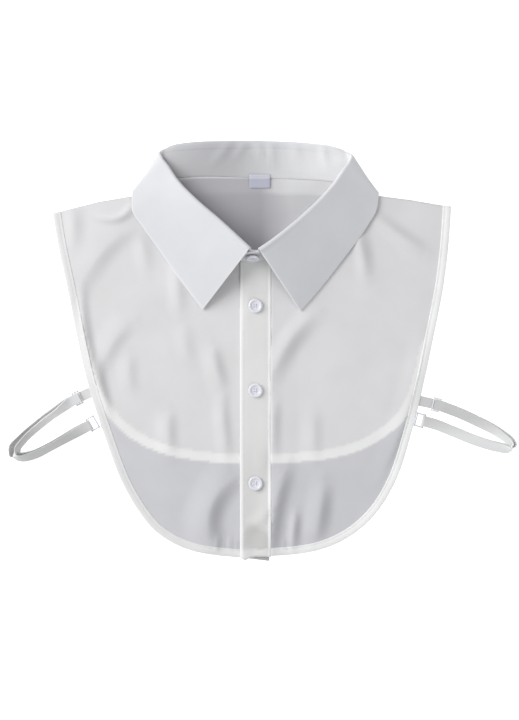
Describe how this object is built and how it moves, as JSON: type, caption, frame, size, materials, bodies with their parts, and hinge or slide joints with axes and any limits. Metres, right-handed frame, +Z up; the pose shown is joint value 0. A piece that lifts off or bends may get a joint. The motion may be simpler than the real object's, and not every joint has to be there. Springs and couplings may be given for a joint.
{
  "type": "detachable shirt collar",
  "caption": "White detachable shirt collar with a pointed fall on a stand, rounded front and back bibs, a button placket and elastic side straps, laid flat.",
  "frame": {"origin": "under the middle of the laid piece, on the surface that it lies on", "axes": "+Z up from the surface, +Y towards the back of the neck, +X to the right as the front is seen from above"},
  "size_m": [0.4563, 0.377, 0.0315],
  "materials": {
    "white_crepe": "thin matt white crepe",
    "interlined_cloth": "the same cloth, interlined and pressed",
    "binding": "folded bias binding",
    "satin_label": "plain pale satin",
    "clear_plastic": "clear, slightly lavender",
    "elastic": "woven white elastic with a sheen"
  },
  "bodies": {
    "root": {"back_bib": "white_crepe", "front_bib_left": "white_crepe", "front_bib_right": "white_crepe", "back_binding": "binding", "front_binding_left": "binding", "front_binding_right": "binding", "placket": "binding", "collar_stand": "interlined_cloth", "collar_fall": "interlined_cloth", "label": "satin_label", "button_1": "clear_plastic", "button_2": "clear_plastic", "button_3": "clear_plastic", "collar_button": "clear_plastic", "strap_left": "elastic", "strap_right": "elastic", "strap_slider_left": "clear_plastic", "strap_slider_right": "clear_plastic", "strap_ring_left": "clear_plastic", "strap_ring_right": "clear_plastic"}
  },
  "joints": []
}
